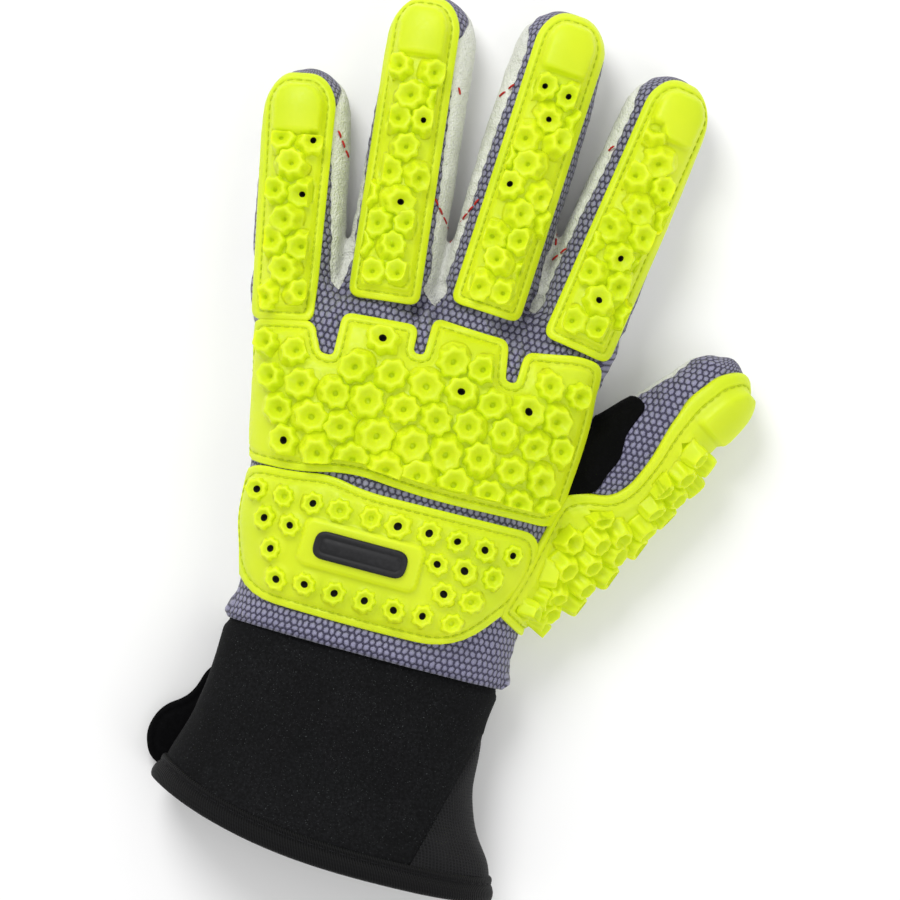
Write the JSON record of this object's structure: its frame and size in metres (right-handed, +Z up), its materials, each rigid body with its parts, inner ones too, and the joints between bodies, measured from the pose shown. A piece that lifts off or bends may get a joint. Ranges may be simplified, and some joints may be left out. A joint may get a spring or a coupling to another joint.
{
  "type": "impact glove",
  "caption": "Left-hand mechanic's impact glove with moulded bright yellow-green guards, honeycomb mesh back, leather palm and black cuff.",
  "frame": {"origin": "centre of the bounding box on the floor, with the glove lying palm down", "axes": "+Z up from the palm to the back of the hand, +Y along the fingers, +X towards the thumb"},
  "size_m": [0.1686, 0.2714, 0.0484],
  "materials": {
    "back_mesh": "matt",
    "palm_leather": "matt",
    "guard_rubber": "satin",
    "black_rubber": "satin",
    "black_neoprene": "matt",
    "black_stretch": "sheer",
    "black_binding": "ribbed",
    "black_suede": "matt"
  },
  "bodies": {
    "root": {"back_panel": "back_mesh", "palm_panel": "palm_leather", "thumb_patch": "black_suede", "knuckle_guard": "guard_rubber", "wrist_guard": "guard_rubber", "little_finger_guard": "guard_rubber", "ring_finger_guard": "guard_rubber", "middle_finger_guard": "guard_rubber", "index_finger_guard": "guard_rubber", "thumb_guard": "guard_rubber", "panel_inlay": "black_rubber", "cuff_back": "black_neoprene", "cuff_palm": "black_neoprene", "cuff_gusset": "black_stretch", "hem_binding": "black_binding", "pull_tab": "black_suede"}
  },
  "joints": []
}
